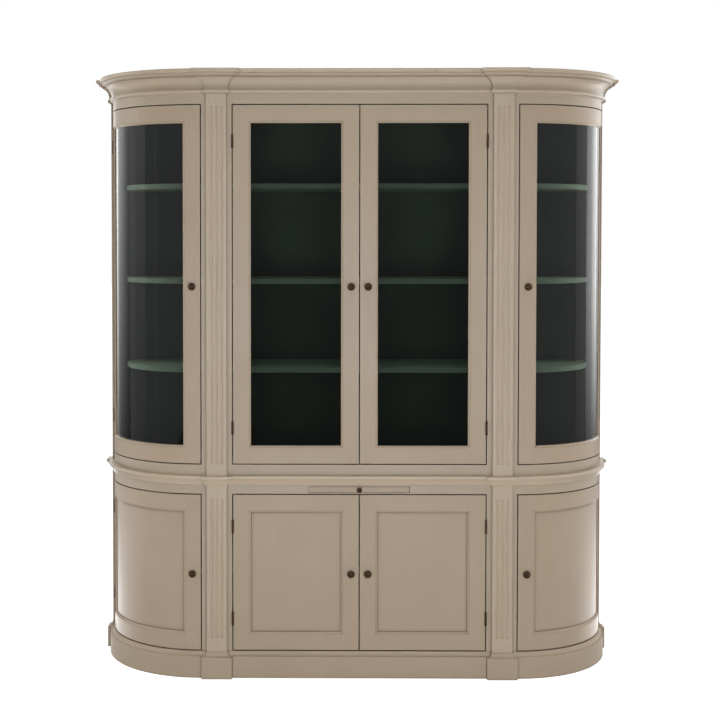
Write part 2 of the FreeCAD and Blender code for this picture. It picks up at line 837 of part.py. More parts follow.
def flat_door(label, low, top, panelled):
    """Frame pieces and filling of the right-hand flat door."""
    section = frame_section(panelled)
    free_edge = D.door_gap / 2
    hinge_edge = D.half_opening - D.door_gap
    inner_low = low + D.door_stile
    inner_top = top - D.door_stile
    inner_left = free_edge + D.door_stile
    inner_right = hinge_edge - D.door_stile
    height = top - low
    stiles = [
        prism(f"{label}_free_stile", "XY_Plane", [(free_edge + u, v) for u, v in section], height, z=low),
        prism(f"{label}_hinge_stile", "XY_Plane", [(hinge_edge - u, v) for u, v in section], height, z=low),
    ]
    rail_length = inner_right - inner_left
    rails = [
        prism(f"{label}_low_rail", "YZ_Plane", [(v, low + u) for u, v in section], rail_length, x=inner_left),
        prism(f"{label}_top_rail", "YZ_Plane", [(v, top - u) for u, v in section], rail_length, x=inner_left),
    ]
    frame = stiles + [cut(f"{rail.Label}_coped", rail, stiles) for rail in rails]
    front = D.glass_depth + D.play / 2
    filling_back = D.glass_depth + (D.panel_thickness if panelled else D.glass_thickness) - D.play / 2
    filling = board(
        f"{label}_filling", (inner_left + D.play, inner_right - D.play), (front, filling_back),
        (inner_low + D.play, inner_top - D.play))
    if not panelled:
        bead = (D.glass_depth + D.glass_thickness, D.face_thickness)
        width = D.sticking
        upright = (inner_low + width, inner_top - width)
        frame += [
            board(f"{label}_bead_low", (inner_left, inner_right), bead, (inner_low, inner_low + width)),
            board(f"{label}_bead_top", (inner_left, inner_right), bead, (inner_top - width, inner_top)),
            board(f"{label}_bead_free", (inner_left, inner_left + width), bead, upright),
            board(f"{label}_bead_hinge", (inner_right - width, inner_right), bead, upright),
        ]
    return frame, filling


def bowed_stile(label, section, low, top, shoulder, backwards):
    """An upright of a bowed door: a swept blank with straight sticking along its inner edge."""
    inwards = 1 if backwards else -1
    body = new_body(label, bow_x, bow_y, low, shoulder)
    blank = sketch(body, "YZ_Plane", rectangle(-D.end_radius, -bow_inner, 0, top - low))
    turn(body, blank, stile_angle, backwards)
    strips = [section[2:6]]
    if len(section) > 8:
        strips.append(section[6:9] + [(section[6][0], section[8][1])])
    outlines = []
    for strip in strips:
        corners = [((u - D.door_stile) * inwards, v - D.end_radius) for u, v in strip]
        corners[0] = (Size(-inwards), corners[0][1])
        corners[-1] = (Size(-inwards), corners[-1][1])
        outlines.append(corners)
    for corners in outlines:
        pad(body, sketch(body, "XY_Plane", corners), top - low)
    return body


def bowed_door(label, low, top, panelled):
    """Frame pieces and filling of the right-hand bowed door."""
    section = frame_section(panelled)
    inner_low = low + D.door_stile
    inner_top = top - D.door_stile
    stiles = [
        bowed_stile(f"{label}_free_stile", section, low, top, shoulder_start, True),
        bowed_stile(f"{label}_hinge_stile", section, low, top, shoulder_start + shoulder_sweep, False),
    ]
    rails = [
        bowed(f"{label}_low_rail", [(D.end_radius - v, low + u) for u, v in section],
              shoulder_start, shoulder_sweep),
        bowed(f"{label}_top_rail", [(D.end_radius - v, top - u) for u, v in section],
              shoulder_start, shoulder_sweep),
    ]
    frame = stiles + [cut(f"{rail.Label}_coped", rail, stiles) for rail in rails]
    front = D.end_radius - D.glass_depth - D.play
    thickness = D.panel_thickness if panelled else D.glass_thickness
    rear = D.end_radius - D.glass_depth - thickness + D.play
    ease = arc_angle(D.play * 3)
    filling = bowed(
        f"{label}_filling", rectangle(rear, front, inner_low + D.play, inner_top - D.play),
        shoulder_start + ease, shoulder_sweep - ease * 2)
    if not panelled:
        width = D.sticking
        bead_angle = arc_angle(width)
        bead_front = rear - D.play
        upright = rectangle(bow_inner, bead_front, inner_low + width, inner_top - width)
        low_bead = rectangle(bow_inner, bead_front, inner_low, inner_low + width)
        top_bead = rectangle(bow_inner, bead_front, inner_top - width, inner_top)
        frame += [
            bowed(f"{label}_bead_low", low_bead, shoulder_start, shoulder_sweep),
            bowed(f"{label}_bead_top", top_bead, shoulder_start, shoulder_sweep),
            bowed(f"{label}_bead_free", upright, shoulder_start, bead_angle),
            bowed(f"{label}_bead_hinge", upright, shoulder_start + shoulder_sweep - bead_angle, bead_angle),
        ]
    return frame, filling


def bowed_knob(label, height):
    """A knob square to the face of a bowed door, near its free edge."""
    on_face = copy_at(f"{label}_face", door_knob, 0, -D.end_radius, height)
    return copy_at(label, on_face, bow_x, bow_y, 0, door_start + arc_angle(D.knob_inset))


centre_hinge = (D.half_opening - D.door_gap / 2, -D.barrel_offset, Size(0))
side_hinge = (side_x + D.barrel_offset, bow_y, Size(90))
storeys = {
    "lower": (D.plinth_height, base_top, True, D.base_knob_height, D.base_hinge_inset),
    "upper": (upper_door_low, upper_door_top, False, D.upper_knob_height, D.upper_hinge_inset),
}
frame_leaves = []
hinge_pins = []
for storey, (low, top, panelled, knob_height, hinge_inset) in storeys.items():
    filling_name = "panel" if panelled else "glass"
    for bend, make_door, hinge in (("", flat_door, centre_hinge), ("_bowed", bowed_door, side_hinge)):
        name = f"{storey}_right{bend}_door"
        twin = f"{storey}_left{bend}_door"
        frame, filling = make_door(name, low + D.door_gap, top - D.door_gap, panelled)
        if bend:
            knob_set = bowed_knob(f"{name}_knob_set", knob_height)
        else:
            knob_set = copy_at(f"{name}_knob_set", door_knob, D.door_gap / 2 + D.knob_inset, 0, knob_height)
        leaves = hinge_pair(f"{name}_leaf", door_leaf, *hinge, low, top, hinge_inset)
        for part_name, parts in (
                ("frame", frame), (filling_name, [filling]), ("knob", [knob_set]), ("hinges", leaves)):
            left_twin(f"{twin}_{part_name}", node(f"{name}_{part_name}", parts))
        for piece, pieces in ((frame_leaf, frame_leaves), (hinge_pin, hinge_pins)):
            for copy in hinge_pair(f"{name}_{piece.Label}", piece, *hinge, low, top, hinge_inset):
                pieces += both_sides(copy)
node("hinge_frame_leaves", frame_leaves)
node("hinge_pins", hinge_pins)


# Magnetic catches on the floors, behind the free edge of every door
def catch(label, x, floor_top):
    front = D.face_thickness + D.play * 2
    return board(
        label, (x, x + D.catch_length), (front, front + D.catch_size), (floor_top, floor_top + D.catch_size))


catches = []
for storey, floor_top in (("lower", D.plinth_height), ("upper", upper_door_low)):
    catches += both_sides(catch(f"{storey}_catch_centre", D.catch_inset, floor_top))
    catches += both_sides(catch(f"{storey}_catch_end", stile_outer - D.catch_length * 0.75, floor_top))
node("door_catches", catches)

doc.recompute()

# Nothing is written unless every object of the document is sound
for item in doc.Objects:
    if {"Invalid", "Error"} & set(item.State):
        raise RuntimeError(f"{item.Label} did not build: {item.State}")
for finished in nodes:
    if finished.Shape.isNull() or not finished.Shape.isValid() or not finished.Shape.Solids:
        raise RuntimeError(f"{finished.Label} has no sound shape")

os.makedirs("parts", exist_ok=True)
for finished in nodes:
    Part.makeCompound(finished.Shape.Solids).exportStep(f"parts/{finished.Label}.step")
print(len(nodes), "sub-parts written")
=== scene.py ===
# %% [markdown]
# # A painted display buffet with bowed ends
# The real piece is a two-storey cabinet: panelled doors below, glazed doors above, and a quarter-round
# door at each end. Its joinery and its moving parts come from the CAD model, which is loaded here as a
# fixed frame. Everything below gives that frame its finishes and remakes the pieces whose curves the
# CAD mesh shows too coarsely.

# %% Load the frame
import bpy
import math
import numpy as np
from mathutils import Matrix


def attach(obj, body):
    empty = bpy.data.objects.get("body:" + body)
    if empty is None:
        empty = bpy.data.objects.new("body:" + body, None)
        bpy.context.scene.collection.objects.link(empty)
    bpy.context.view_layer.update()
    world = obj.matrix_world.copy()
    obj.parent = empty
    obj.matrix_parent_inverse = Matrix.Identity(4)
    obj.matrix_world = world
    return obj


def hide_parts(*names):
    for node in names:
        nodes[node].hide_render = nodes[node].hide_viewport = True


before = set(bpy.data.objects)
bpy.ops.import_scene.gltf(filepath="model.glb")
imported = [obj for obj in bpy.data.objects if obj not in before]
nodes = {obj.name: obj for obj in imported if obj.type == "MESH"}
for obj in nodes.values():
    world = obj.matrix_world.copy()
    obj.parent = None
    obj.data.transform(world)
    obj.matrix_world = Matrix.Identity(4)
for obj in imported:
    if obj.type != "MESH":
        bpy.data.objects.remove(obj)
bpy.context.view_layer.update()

# Lengths are in metres. Depths count from the front of the doors, which lies at FACE_Y.
MM = 0.001
FACE_Y = -188.5 * MM
HALF_OPENING, STILE_WIDTH, DOOR_GAP, DOOR_STILE = 503.1 * MM, 120.3 * MM, 4.4 * MM, 62 * MM
END_RADIUS, POST_DEPTH, POST_WIDTH, POST_STRIP = 395 * MM, 55 * MM, 90 * MM, 15 * MM
BOARD = 22 * MM
BOW_X, BOW_Y = HALF_OPENING + STILE_WIDTH + DOOR_GAP / 2, END_RADIUS
SIDE_X, DEPTH = BOW_X + END_RADIUS, BOW_Y + POST_DEPTH
BACK_Y = DEPTH + FACE_Y

# %% [markdown]
# ## Colours and nodes
# Paint charts and photographs give colours as sRGB hex values, but shaders mix light in linear values, so
# one function translates. A second one adds a node with its settings and links. Sockets go by their name
# or number: a Mix node has its share at 0, two numbers at 2 and 3 and two colours at 6 and 7, and a Map
# Range node has a value at 0, the range it comes from at 1 and 2 and the range it goes to at 3 and 4.

# %% Colour and node helpers
def linear(code):
    """Linear RGBA of an sRGB hex code: each channel c becomes ((c + 0.055) / 1.055) to the power 2.4."""
    channels = np.array([int(code[i:i + 2], 16) for i in (1, 3, 5)]) / 255
    bright = ((channels + 0.055) / 1.055) ** 2.4
    return (*np.where(channels <= 0.04045, channels / 12.92, bright), 1.0)


def add(tree, kind, inputs=None, **settings):
    """Add a node; an input is a number or colour to set, or another node's socket to link."""
    made = tree.nodes.new(kind)
    for name, value in settings.items():
        setattr(made, name, value)
    for socket, value in (inputs or {}).items():
        if isinstance(value, bpy.types.NodeSocket):
            tree.links.new(value, made.inputs[socket])
        else:
            made.inputs[socket].default_value = value
    return made


def new_finish(name):
    """An empty node material and its tree."""
    material = bpy.data.materials.new(name)
    material.use_nodes = True
    material.node_tree.nodes.clear()
    return material, material.node_tree


WHITE = linear("#FFFFFF")
print("middle grey in linear light:", np.round(linear("#808080")[:3], 3))

# %% [markdown]
# ## Brushed paint with a brown glaze and painted shade
# The wood is painted in a satin taupe, laid on with a brush along each member. A thin brown glaze was then
# wiped over it, and it stayed in the corners, along the edges of the panels and beside the mouldings. The
# darkening in the corners here is partly that glaze and partly painted shade, and the gaps between parts
# are painted dark brown as shade. The darkening could be drawn as a texture for each door, but the corners
# are already in the geometry: the Ambient Occlusion node finds them, so the same material suits every
# piece. The brush lines are a noise stretched along the member. Real bristle lines are under 1 mm apart,
# too fine for the picture, so they are drawn 4 mm apart.

# %% Brushed paint
BRISTLE, STROKE, CLOUD = 4 * MM, 120 * MM, 250 * MM
BRUSH_SHARE, BRUSH_RIDGE, RIDGE_STRENGTH = 0.45, 0.3 * MM, 0.25
NOISE_LOW, NOISE_HIGH = 0.3, 0.7
GAP_OPEN, GAP_SHUT = 0.5, 0.2
CORNER_REACH, MITRE_REACH, FRAME_REACH = 6 * MM, 10 * MM, 16 * MM
SHARP_CORNER, SLIGHT_CORNER, DEEP_CORNER = (0.95, 0.55), (0.98, 0.75), (0.85, 0.5)
# The first value is the thinnest share of corner glaze and painted shade, where the clouds are lowest; the
# colour is the dark brown of the painted shade in the gaps between parts.
THIN_GLAZE, GAP_SHADE_BROWN = 0.6, "#4A2C0E"
PAINT_IOR, FULL_SHINE, ROUGH_SWING = 1.5, 0.5, 0.05
SIDE_FACE, BACK_FACE = SIDE_X - 1 * MM, BACK_Y - 1 * MM


def lined_paint(tree, place, paint, lining):
    """Colour that changes to the lining where a face is nearer the middle than the side and the back."""
    where = add(tree, "ShaderNodeSeparateXYZ", {0: place})
    off_middle = add(tree, "ShaderNodeMath", {0: where.outputs["X"]}, operation="ABSOLUTE")
    inside = add(tree, "ShaderNodeMath", {0: off_middle.outputs[0], 1: SIDE_FACE}, operation="LESS_THAN")
    before = add(tree, "ShaderNodeMath", {0: where.outputs["Y"], 1: BACK_FACE}, operation="LESS_THAN")
    both = {0: inside.outputs[0], 1: before.outputs[0]}
    hidden = add(tree, "ShaderNodeMath", both, operation="MULTIPLY")
    coats = {0: hidden.outputs[0], 6: paint, 7: linear(lining)}
    return add(tree, "ShaderNodeMix", coats, data_type="RGBA").outputs[2]


def with_dark_bands(tree, place, amount, dark_bands):
    """Glaze and painted shade, plus darker bands: each is full at its foot and fades out up to its brim."""
    level = add(tree, "ShaderNodeSeparateXYZ", {0: place}).outputs["Z"]
    for foot, brim, strength in dark_bands:
        above = add(tree, "ShaderNodeMath", {0: level, 1: foot}, operation="GREATER_THAN")
        thick = add(tree, "ShaderNodeMapRange", {0: level, 1: foot, 2: brim, 3: strength, 4: 0.0})
        run = add(tree, "ShaderNodeMath", {0: above.outputs[0], 1: thick.outputs[0]}, operation="MULTIPLY")
        amount = add(tree, "ShaderNodeMath", {0: amount, 1: run.outputs[0]}, operation="MAXIMUM").outputs[0]
    return amount


def brushed_paint(
        name, tint, shade, glaze, glaze_and_shade_strength, roughness, upright,
        lining=None, reach=CORNER_REACH, hold=SHARP_CORNER, gap_shade_share=0.35, dark_bands=()):
    """Satin paint: two tints mixed by brush lines and slow clouds, and glaze and painted shade in corners.

    A lining is the colour of the faces inside the cabinet. The reach is how far out of a corner the glaze
    and painted shade show, and hold the open shares of the sky at which they start and are full. The share
    after that is of painted shade in the gaps between parts, a dark brown, where the paint also loses its
    shine.
    Last come bands that are darker towards their foot, in the colour of the glaze: the level of the foot and
    of the brim, where a band has faded out, and the strength.
    """
    material, tree = new_finish(name)
    place = add(tree, "ShaderNodeTexCoord").outputs["Object"]
    across, along = 1 / BRISTLE, 1 / STROKE
    stretch = (across, across, along) if upright else (along, along, across)
    stretched = add(tree, "ShaderNodeMapping", {"Vector": place, "Scale": stretch}).outputs[0]
    brush = add(tree, "ShaderNodeTexNoise", {"Vector": stretched, "Scale": 1.0, "Detail": 3.0}).outputs[0]
    cloud = add(tree, "ShaderNodeTexNoise", {"Vector": place, "Scale": 1 / CLOUD, "Detail": 4.0}).outputs[0]
    open_sky = add(tree, "ShaderNodeAmbientOcclusion", {"Distance": reach}, samples=8).outputs["AO"]

    blend = add(tree, "ShaderNodeMix", {0: BRUSH_SHARE, 2: cloud, 3: brush})
    tone = add(tree, "ShaderNodeMapRange", {0: blend.outputs[0], 1: NOISE_LOW, 2: NOISE_HIGH})
    tints = {0: tone.outputs[0], 6: linear(shade), 7: linear(tint)}
    colour = add(tree, "ShaderNodeMix", tints, data_type="RGBA").outputs[2]
    if lining:
        colour = lined_paint(tree, place, colour, lining)

    # Glaze and painted shade: corners that the ambient occlusion finds turn towards the brown of the glaze.
    glaze_and_shade_in_corners = add(tree, "ShaderNodeMapRange", {0: open_sky, 1: hold[0], 2: hold[1], 3: 0.0, 4: glaze_and_shade_strength})
    patchy = add(tree, "ShaderNodeMapRange", {0: cloud, 1: NOISE_LOW, 2: NOISE_HIGH, 3: THIN_GLAZE, 4: 1.0})
    coverage = {0: glaze_and_shade_in_corners.outputs[0], 1: patchy.outputs[0]}
    amount = add(tree, "ShaderNodeMath", coverage, operation="MULTIPLY").outputs[0]
    # Bands on the cornice, darker towards their foot, in the colour of the glaze.
    if dark_bands:
        amount = with_dark_bands(tree, place, amount, dark_bands)
    # Painted shade: nearly closed gaps between parts turn dark brown, and lose their shine lower down.
    painted_gap_shade = add(tree, "ShaderNodeMapRange", {0: open_sky, 1: GAP_OPEN, 2: GAP_SHUT, 3: 0.0, 4: gap_shade_share})
    for share, coat in ((amount, glaze), (painted_gap_shade.outputs[0], GAP_SHADE_BROWN)):
        layers = {0: share, 6: colour, 7: linear(coat)}
        colour = add(tree, "ShaderNodeMix", layers, data_type="RGBA").outputs[2]

    rough = add(tree, "ShaderNodeMapRange", {
        0: brush, 1: NOISE_LOW, 2: NOISE_HIGH, 3: roughness - ROUGH_SWING, 4: roughness + ROUGH_SWING})
    shine = add(tree, "ShaderNodeMapRange", {0: open_sky, 1: GAP_OPEN, 2: GAP_SHUT, 3: FULL_SHINE, 4: 0.0})
    ridge = add(tree, "ShaderNodeBump", {
        "Strength": RIDGE_STRENGTH, "Distance": BRUSH_RIDGE, "Height": brush})
    shader = add(tree, "ShaderNodeBsdfPrincipled", {
        "Base Color": colour, "Roughness": rough.outputs[0], "IOR": PAINT_IOR,
        "Specular IOR Level": shine.outputs[0], "Normal": ridge.outputs[0]})
    add(tree, "ShaderNodeOutputMaterial", {"Surface": shader.outputs[0]})
    return material


# %% Paints of the cabinet
# Each paint has its tint, shade and glaze colour, the share of glaze and painted shade that its corners
# hold, and its roughness. FRAMED, CORNICE, WAIST and FLUTED are the taupe painted lighter as painted light,
# and
# PLINTH the taupe painted darker as painted shade, for how the light falls on those parts.
GLAZE_AND_SHADE_BROWN, SATIN = "#5E4A36", 0.33
TAUPE = ("#A99885", "#A2917D", GLAZE_AND_SHADE_BROWN, 0.85, SATIN)
FRAMED = ("#AA9C8A", "#A39582", GLAZE_AND_SHADE_BROWN, 0.25, SATIN)
PLINTH = ("#A79783", "#A0907B", GLAZE_AND_SHADE_BROWN, 0.85, 0.55)
CORNICE = ("#B5A692", "#AE9F8A", GLAZE_AND_SHADE_BROWN, 0.75, SATIN)
WAIST = ("#B8A894", "#B1A18C", GLAZE_AND_SHADE_BROWN, 0.15, SATIN)
FLUTED = ("#B2A38F", "#AB9C87", GLAZE_AND_SHADE_BROWN, 0.2, SATIN)
LINING = ("#3A433C", "#2F3732", "#101512", 0.5, 0.5)
# SHELF is the green of LINING painted much lighter, as painted light on the shelf edges behind the glass.
SHELF = ("#8FA08E", "#849582", "#1E2620", 0.1, 0.45)
# The cornice's darker bands: the level of each foot and brim in metres, and the strength.
COVE_BAND, OVOLO_BAND = (2.3245, 2.352, 0.45), (2.367, 2.384, 0.35)

taupe_upright = brushed_paint("taupe satin paint, upright strokes", *TAUPE, upright=True)
taupe_level = brushed_paint("taupe satin paint, level strokes", *TAUPE, upright=False)
taupe_frame = brushed_paint(
    "taupe satin paint with painted light on the face frames", *FRAMED, upright=False, reach=FRAME_REACH)
taupe_plinth = brushed_paint("taupe satin paint, scuffed on the plinth", *PLINTH, upright=False)
taupe_waist = brushed_paint(
    "taupe satin paint with painted light on the waist", *WAIST, upright=False, hold=DEEP_CORNER, gap_shade_share=0.0)
taupe_cornice = brushed_paint(
    "taupe satin paint with painted light on the cornice", *CORNICE, upright=False, reach=MITRE_REACH, hold=DEEP_CORNER,
    gap_shade_share=0.0, dark_bands=(COVE_BAND, OVOLO_BAND))
taupe_panel = brushed_paint(
    "taupe satin paint on the panels", *TAUPE, upright=True, reach=FRAME_REACH, hold=SLIGHT_CORNER)
taupe_flutes = brushed_paint("taupe satin paint with painted light on the flutes", *FLUTED, upright=True)
taupe_post = brushed_paint("taupe satin paint, lined inside", *TAUPE, upright=True, lining=LINING[1])
green_lining = brushed_paint("dark green lining paint", *LINING, upright=True)
green_shelf = brushed_paint("green shelf paint with painted light", *SHELF, upright=False, gap_shade_share=0.0)
print("paints:", taupe_upright.name, "/", green_lining.name, "/", green_shelf.name)

# %% [markdown]
# ## Window glass
# The panes are 4 mm float glass, bent to the bow at the ends. Clean glass is nearly all transmission and
# reflection, so its only detail is a slight unevenness of the bent surface, a few hundredths of a
# millimetre over a hand's breadth, and a faint film that dulls it in patches. A shader for glass alone would
# keep the lamps' direct light out of the cabinet. A real pane hardly bends it, so the rays to the lamps go
# straight through here and the shelves are lit.

# %% Glass
RIPPLE, FILM = 90 * MM, 50 * MM
RIPPLE_DEPTH, RIPPLE_STRENGTH = 0.4 * MM, 0.08
FILM_LOW, FILM_HIGH, FILM_ROUGH = 0.45, 0.75, 0.03
GLASS_TINT, GLASS_IOR = "#F0F5F2", 1.5


def window_glass(name):
    """Clear glass with a slow ripple and a patchy film, which lamps shine through unbent."""
    material, tree = new_finish(name)
    place = add(tree, "ShaderNodeTexCoord").outputs["Object"]
    ripple = add(tree, "ShaderNodeTexNoise", {"Vector": place, "Scale": 1 / RIPPLE, "Detail": 1.0})
    film = add(tree, "ShaderNodeTexNoise", {"Vector": place, "Scale": 1 / FILM, "Detail": 5.0})
    rough = add(tree, "ShaderNodeMapRange", {
        0: film.outputs[0], 1: FILM_LOW, 2: FILM_HIGH, 3: 0.0, 4: FILM_ROUGH})
    wave = add(tree, "ShaderNodeBump", {
        "Strength": RIPPLE_STRENGTH, "Distance": RIPPLE_DEPTH, "Height": ripple.outputs[0]})
    shader = add(tree, "ShaderNodeBsdfPrincipled", {
        "Base Color": linear(GLASS_TINT), "Roughness": rough.outputs[0], "IOR": GLASS_IOR,
        "Transmission Weight": 1.0, "Normal": wave.outputs[0]})
    clear = add(tree, "ShaderNodeBsdfTransparent", {"Color": linear(GLASS_TINT)})
    lamp_ray = add(tree, "ShaderNodeLightPath").outputs["Is Shadow Ray"]
    pane = add(tree, "ShaderNodeMixShader", {0: lamp_ray, 1: shader.outputs[0], 2: clear.outputs[0]})
    add(tree, "ShaderNodeOutputMaterial", {"Surface": pane.outputs[0]})
    return material


clear_glass = window_glass("clear float glass")
print("glass:", clear_glass.name)

# %% [markdown]
# ## Metals, bare wood and plastic
# Knobs and hinges are brass browned in a bath, which leaves them nearly black in the hollows and warmer
# where fingers rub. Shelf pins and hinge pins are drawn steel, a plain grey with a soft shine. The runners
# of the slide are beech, planed and left bare, so it is dull, with rays and growth rings that run along the
# board. The door catches are moulded plastic, with a fine grain that blurs its highlights. Painted textures
# would show all this too, but the pieces are small in the picture, so noise of the right grain size will do.

# %% Metal and plastic
PIT_DEPTH = 0.2 * MM


def mottled(name, dark, light, grain, rough_low, rough_high, metallic, bump):
    """Two colours mixed by a noise of one grain size, where the lighter patches are also the smoother."""
    material, tree = new_finish(name)
    place = add(tree, "ShaderNodeTexCoord").outputs["Object"]
    patch = add(tree, "ShaderNodeTexNoise", {
        "Vector": place, "Scale": 1 / grain, "Detail": 5.0, "Roughness": 0.6}).outputs[0]
    level = add(tree, "ShaderNodeMapRange", {0: patch, 1: NOISE_LOW, 2: NOISE_HIGH})
    tints = {0: level.outputs[0], 6: linear(dark), 7: linear(light)}
    colour = add(tree, "ShaderNodeMix", tints, data_type="RGBA")
    rough = add(tree, "ShaderNodeMapRange", {
        0: patch, 1: NOISE_LOW, 2: NOISE_HIGH, 3: rough_high, 4: rough_low})
    pitted = add(tree, "ShaderNodeBump", {"Strength": bump, "Distance": PIT_DEPTH, "Height": patch})
    shader = add(tree, "ShaderNodeBsdfPrincipled", {
        "Base Color": colour.outputs[2], "Roughness": rough.outputs[0], "Metallic": metallic,
        "Normal": pitted.outputs[0]})
    add(tree, "ShaderNodeOutputMaterial", {"Surface": shader.outputs[0]})
    return material


browned_brass = mottled("browned brass", "#33271D", "#6E5943", 6 * MM, 0.3, 0.5, 0.6, 0.2)
drawn_steel = mottled("drawn steel", "#7D7F82", "#A9ABAE", 3 * MM, 0.25, 0.4, 1.0, 0.1)
dark_plastic = mottled("moulded dark plastic", "#1B1714", "#26211D", 1.5 * MM, 0.45, 0.6, 0.0, 0.3)
print("metal and plastic:", browned_brass.name, "/", drawn_steel.name, "/", dark_plastic.name)

# %% Bare wood
FIBRE, FIBRE_LENGTH = 2.5 * MM, 1 / 6
RING_SCALE, RING_BEND, RAY_SCALE = 0.16, 3.0, 2.0
PORE_DEPTH, PORE_STRENGTH = 0.3 * MM, 0.3
DARK_ROUGH, LIGHT_ROUGH = 0.62, 0.5
DARK_BEECH, LIGHT_BEECH = "#8F6C47", "#B8946A"


def planed_beech(name):
    """Beech: growth rings about 5 mm apart as a wave across the board, mixed evenly with short rays."""
    material, tree = new_finish(name)
    place = add(tree, "ShaderNodeTexCoord").outputs["Object"]
    stretch = (1 / FIBRE, 1 / FIBRE_LENGTH, 1 / FIBRE)
    stretched = add(tree, "ShaderNodeMapping", {"Vector": place, "Scale": stretch}).outputs[0]
    ring = add(tree, "ShaderNodeTexWave", {
        "Vector": stretched, "Scale": RING_SCALE, "Distortion": RING_BEND, "Detail": 3.0},
        bands_direction="X")
    ray = add(tree, "ShaderNodeTexNoise", {"Vector": stretched, "Scale": RAY_SCALE, "Detail": 2.0})
    grain = add(tree, "ShaderNodeMix", {0: 0.5, 2: ring.outputs["Fac"], 3: ray.outputs[0]}).outputs[0]
    tints = {0: grain, 6: linear(DARK_BEECH), 7: linear(LIGHT_BEECH)}
    colour = add(tree, "ShaderNodeMix", tints, data_type="RGBA")
    rough = add(tree, "ShaderNodeMapRange", {0: grain, 3: DARK_ROUGH, 4: LIGHT_ROUGH})
    pores = add(tree, "ShaderNodeBump", {"Strength": PORE_STRENGTH, "Distance": PORE_DEPTH, "Height": grain})
    shader = add(tree, "ShaderNodeBsdfPrincipled", {
        "Base Color": colour.outputs[2], "Roughness": rough.outputs[0], "Normal": pores.outputs[0]})
    add(tree, "ShaderNodeOutputMaterial", {"Surface": shader.outputs[0]})
    return material


bare_wood = planed_beech("planed beech")
print("wood:", bare_wood.name)

# %% [markdown]
# ## Dressing the CAD nodes
# Each CAD node arrives with its finish named in its material slot. The names lead to the materials
# above. Painters brush with the grain, so members that run across the front get level strokes and the rest
# upright ones.

# %% Finishes on the CAD nodes
LEVEL_MEMBERS = ("rails", "floor", "roof", "worktop", "shelves", "slide_board")
finish_of_slot = {
    "taupe_painted_wood": (taupe_upright, taupe_level),
    "green_painted_wood": (green_lining, green_shelf),
    "clear_glass": (clear_glass, clear_glass),
    "dark_bronze": (browned_brass, browned_brass),
    "steel": (drawn_steel, drawn_steel),
    "bare_wood": (bare_wood, bare_wood),
    "dark_plastic": (dark_plastic, dark_plastic),
}
finish_of_ending = {
    "rear_posts": taupe_post,
    "door_panel": taupe_panel,
    "face_frame": taupe_frame,
    "bowed_rails": taupe_frame,
}
for name, member in nodes.items():
    level = any(word in name for word in LEVEL_MEMBERS)
    finish = finish_of_slot[member.data.materials[0].name][level]
    for ending, own_finish in finish_of_ending.items():
        finish = own_finish if name.endswith(ending) else finish
    member.data.materials[0] = finish
print("dressed", len(nodes), "nodes")

# %% [markdown]
# ## Surfaces from grids
# Every new piece is a grid of points worked out with numpy, where each four neighbours make a face. A
# modelling tool such as Spin or a bevelled curve would give similar shapes, but the formula keeps each
# piece exactly on its CAD solid.

# %% Shells and pieces
SHARP_ANGLE = math.radians(32)


def tube(grid):
    """Closed shell of a grid whose rows are rings: sides between the rings, and a cap on the end rings."""
    rows, columns = grid.shape[:2]
    near = np.arange(rows - 1)[:, None] * columns
    far = near + columns
    column = np.arange(columns)[None, :]
    following = (column + 1) % columns
    corners = (near + column, near + following, far + following, far + column)
    sides = np.stack(corners, -1).reshape(-1, 4).tolist()
    caps = [list(range(columns))[::-1], list(range((rows - 1) * columns, rows * columns))]
    return grid.reshape(-1, 3), sides + caps


def six_volumes(points, faces):
    """Six times the volume in a shell: the triple products of its triangles, positive if it faces out."""
    fans = np.array([(face[0], face[i], face[i + 1]) for face in faces for i in range(1, len(face) - 1)])
    a, b, c = points[fans[:, 0]], points[fans[:, 1]], points[fans[:, 2]]
    return np.einsum("ij,ij->", a, np.cross(b, c))


def mirrored(shell):
    """The left-hand twin of a right-hand shell."""
    points, faces = shell
    return points * (-1, 1, 1), faces


def new_piece(name, shells, material, body, replaced=()):
    """One object from several shells, faced outwards, riding on a body and standing for CAD nodes."""
    points, faces, start = [], [], 0
    for shell_points, shell_faces in shells:
        turn = -1 if six_volumes(shell_points, shell_faces) < 0 else 1
        faces += [[start + corner for corner in face[::turn]] for face in shell_faces]
        points.append(shell_points)
        start += len(shell_points)
    mesh = bpy.data.meshes.new(name)
    mesh.from_pydata(np.concatenate(points).tolist(), [], faces)
    mesh.shade_smooth()
    mesh.set_sharp_from_angle(angle=SHARP_ANGLE)
    mesh.materials.append(material)
    piece = bpy.data.objects.new(name, mesh)
    bpy.context.scene.collection.objects.link(piece)
    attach(piece, body)
    if replaced:
        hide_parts(*replaced)
    print(f"{name}: {len(shells)} shells, {len(faces)} faces")


# %% Profiles
def outline(corners, steps=9):
    """Points along a profile: straight to a corner (a, b), or to (a, b, radius, side) by an arc.

    The arc's centre lies on the square through the middle of the chord, at the height that the radius
    leaves; side 1 bulges to the right of the way and -1 to the left.
    """
    points = [complex(*corners[0][:2])]
    for a, b, *arc in corners[1:]:
        start, end = points[-1], complex(a, b)
        if arc:
            radius, side = arc
            chord = end - start
            rise = math.sqrt(max(radius ** 2 - abs(chord) ** 2 / 4, 0))
            centre = (start + end) / 2 + 1j * side * chord / abs(chord) * rise
            sweep = np.angle((end - centre) / (start - centre))
            turns = np.exp(1j * sweep * np.arange(1, steps) / steps)
            points += list(centre + (start - centre) * turns)
        points.append(end)
    points = np.array(points)
    return np.stack([points.real, points.imag], -1)


# %% [markdown]
# ## Cornice, waist and plinth
# On the real cabinet these are lengths of shaped moulding, mitred where they break forward over the
# pilasters and bent round the ends. A profile carried along the plan gives the same thing. The
# plan depends on how far a point of the profile stands out, because the returns of the pilaster blocks
# run into the bow sooner the further they project, so the path is worked out for each profile point.

